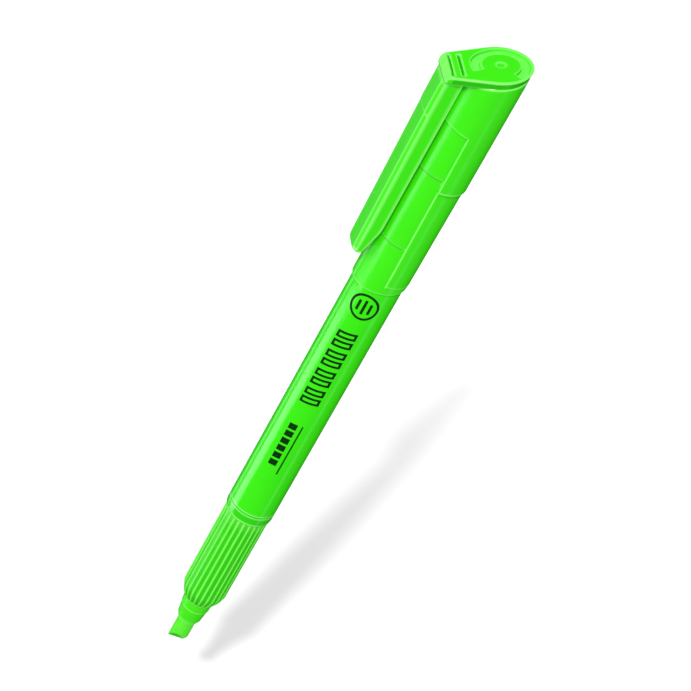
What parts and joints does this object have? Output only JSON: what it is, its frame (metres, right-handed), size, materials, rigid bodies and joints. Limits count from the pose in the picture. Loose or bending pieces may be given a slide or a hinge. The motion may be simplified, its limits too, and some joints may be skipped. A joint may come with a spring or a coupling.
{
  "type": "highlighter",
  "caption": "Slim pocket highlighter with a chisel felt nib, ribbed grip, round barrel and a slant-topped clip cap pushed onto its tail.",
  "frame": {"origin": "on the pen's axis at the level of the chisel nib's foremost edge", "axes": "+Z along the pen from the nib to the cap, -X from the axis towards the clip, y = 0 is the cap's symmetry plane"},
  "size_m": [0.0156, 0.012, 0.1587],
  "materials": {
    "barrel_green": "moulded, semi-gloss, slightly translucent neon green",
    "grip_green": "moulded, ribbed, satin neon green",
    "cap_green": "moulded, satin neon green",
    "felt_green": "porous felt soaked with fluorescent green ink",
    "wick_green": "bonded fibre soaked with ink",
    "clear_film": "thin clear film",
    "liner_plastic": "soft natural polyethylene"
  },
  "bodies": {
    "pen": {"barrel": "barrel_green", "grip_section": "grip_green", "chisel_nib": "felt_green", "ink_reservoir": "wick_green", "reservoir_film": "clear_film", "tail_plug": "barrel_green"},
    "cap_carrier": {"inner_cap": "liner_plastic"},
    "cap": {"cap_shell": "cap_green"},
    "clip": {"cap_clip": "cap_green"}
  },
  "joints": [
    {"name": "cap_slide", "type": "slide", "parent": "pen", "child": "cap_carrier", "axis": [0, 0, 1], "range_m": [0, 0.04]},
    {"name": "cap_twist", "type": "hinge", "parent": "cap_carrier", "child": "cap", "pos_m": [0, 0, 0.1341], "axis": [0, 0, 1], "continuous": true},
    {"name": "clip_flex", "type": "hinge", "parent": "cap", "child": "clip", "pos_m": [-0.0095, 0, 0.1517], "axis": [0, 1, 0], "range_deg": [0, 3], "stiffness_Nm_per_rad": 2}
  ]
}
